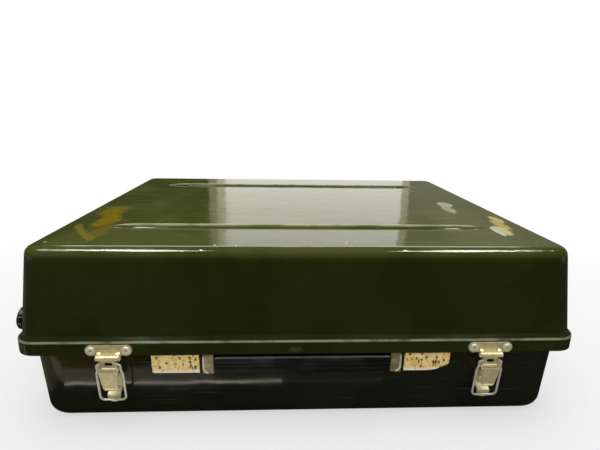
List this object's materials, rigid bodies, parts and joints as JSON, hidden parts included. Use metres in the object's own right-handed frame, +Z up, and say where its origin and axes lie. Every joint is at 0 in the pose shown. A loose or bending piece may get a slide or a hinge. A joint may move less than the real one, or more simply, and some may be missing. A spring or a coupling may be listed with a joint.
{
  "type": "transport case",
  "caption": "Shallow rectangular transport case: tapered base tub, deep ribbed lid lapping over it, over-centre latches, strap handle, rear hinges and a breather.",
  "frame": {"origin": "Middle of the flat underside of the base tub, on the surface that the case rests on.", "axes": "+X runs along the long side from the left latch to the right latch, the latches and handle face -Y, the hinges face +Y, +Z is up. At rest the lid is down with the bails hanging in front of their strikes."},
  "size_m": [0.5778, 0.4916, 0.1902],
  "materials": {
    "lid_fibreglass": "gloss olive gel coat over glass fibre",
    "base_fibreglass": "gloss near-black olive gel coat over glass fibre",
    "seal_rubber": "matte black rubber",
    "latch_metal": "plated sheet steel, worn satin",
    "wire_metal": "plated steel wire, satin",
    "rivet_metal": "plated steel, satin",
    "hinge_metal": "zinc-plated sheet steel",
    "backing_metal": "plain aluminium strip",
    "loop_metal": "dull plated steel strip",
    "grip_rubber": "ribbed black rubber",
    "strap_leather": "dark leather strap",
    "pad_leather": "tan leather with dark specks",
    "vent_plastic": "moulded black plastic"
  },
  "bodies": {
    "base": {"base_tub": "base_fibreglass", "rim_seal": "seal_rubber", "hinge_base_rivets": "rivet_metal", "hinge_base_leaf_left": "hinge_metal", "hinge_pin_left": "hinge_metal", "hinge_base_backing_left": "backing_metal", "strike_left": "latch_metal", "strike_rivets_left": "rivet_metal", "strike_backing_left": "backing_metal", "handle_loop_left": "loop_metal", "loop_backing_left": "backing_metal", "hinge_base_leaf_right": "hinge_metal", "hinge_pin_right": "hinge_metal", "hinge_base_backing_right": "backing_metal", "strike_right": "latch_metal", "strike_rivets_right": "rivet_metal", "strike_backing_right": "backing_metal", "handle_loop_right": "loop_metal", "loop_backing_right": "backing_metal"},
    "lid": {"lid": "lid_fibreglass", "hinge_lid_rivets": "rivet_metal", "vent_stem": "hinge_metal", "vent_washer": "hinge_metal", "vent_nut": "hinge_metal", "hinge_lid_leaf_left": "hinge_metal", "hinge_lid_backing_left": "backing_metal", "latch_plate_left": "latch_metal", "latch_rivets_left": "rivet_metal", "latch_backing_left": "backing_metal", "latch_link_pin_left": "rivet_metal", "hinge_lid_leaf_right": "hinge_metal", "hinge_lid_backing_right": "backing_metal", "latch_plate_right": "latch_metal", "latch_rivets_right": "rivet_metal", "latch_backing_right": "backing_metal", "latch_link_pin_right": "rivet_metal"},
    "grip": {"handle_grip": "grip_rubber", "handle_strap": "strap_leather"},
    "vent_cap": {"vent_cap": "vent_plastic"},
    "link_left": {"latch_link_left": "latch_metal", "latch_lever_pin_left": "rivet_metal"},
    "lever_left": {"latch_lever_left": "latch_metal"},
    "bail_left": {"latch_bail_left": "wire_metal"},
    "strap_left": {"strap_end_left": "strap_leather", "strap_pad_left": "pad_leather"},
    "link_right": {"latch_link_right": "latch_metal", "latch_lever_pin_right": "rivet_metal"},
    "lever_right": {"latch_lever_right": "latch_metal"},
    "bail_right": {"latch_bail_right": "wire_metal"},
    "strap_right": {"strap_end_right": "strap_leather", "strap_pad_right": "pad_leather"}
  },
  "joints": [
    {"name": "lid_hinge", "type": "hinge", "parent": "base", "child": "lid", "pos_m": [0, 0.2419, 0.078], "axis": [-1, 0, 0], "range_deg": [0, 110]},
    {"name": "link_swing_left", "type": "hinge", "parent": "lid", "child": "link_left", "pos_m": [-0.191, -0.2423, 0.08], "axis": [-1, 0, 0], "range_deg": [0, 60]},
    {"name": "lever_throw_left", "type": "hinge", "parent": "link_left", "child": "lever_left", "pos_m": [-0.191, -0.2423, 0.068], "axis": [-1, 0, 0], "range_deg": [0, 105]},
    {"name": "bail_swing_left", "type": "hinge", "parent": "lever_left", "child": "bail_left", "pos_m": [-0.191, -0.24313, 0.07394], "axis": [-1, 0, 0], "range_deg": [0, 90]},
    {"name": "link_swing_right", "type": "hinge", "parent": "lid", "child": "link_right", "pos_m": [0.191, -0.2423, 0.08], "axis": [-1, 0, 0], "range_deg": [0, 60]},
    {"name": "lever_throw_right", "type": "hinge", "parent": "link_right", "child": "lever_right", "pos_m": [0.191, -0.2423, 0.068], "axis": [-1, 0, 0], "range_deg": [0, 105]},
    {"name": "bail_swing_right", "type": "hinge", "parent": "lever_right", "child": "bail_right", "pos_m": [0.191, -0.24313, 0.07394], "axis": [-1, 0, 0], "range_deg": [0, 90]},
    {"name": "grip_lift", "type": "slide", "parent": "base", "child": "grip", "axis": [0, -0.9981, -0.061], "range_m": [0, 0.02], "stiffness_N_per_m": 300},
    {"name": "strap_pull_left", "type": "slide", "parent": "base", "child": "strap_left", "axis": [1, 0, 0], "range_m": [0, 0.003]},
    {"name": "strap_pull_right", "type": "slide", "parent": "base", "child": "strap_right", "axis": [-1, 0, 0], "range_m": [0, 0.003]},
    {"name": "vent_turn", "type": "hinge", "parent": "lid", "child": "vent_cap", "pos_m": [-0.28097, -0.202, 0.1042], "axis": [-0.9949, 0, 0.1011], "range_deg": [0, 180]}
  ],
  "couplings": [
    {"joint": "strap_pull_left", "follows": "grip_lift", "ratio": 0.15},
    {"joint": "strap_pull_right", "follows": "grip_lift", "ratio": 0.15}
  ]
}
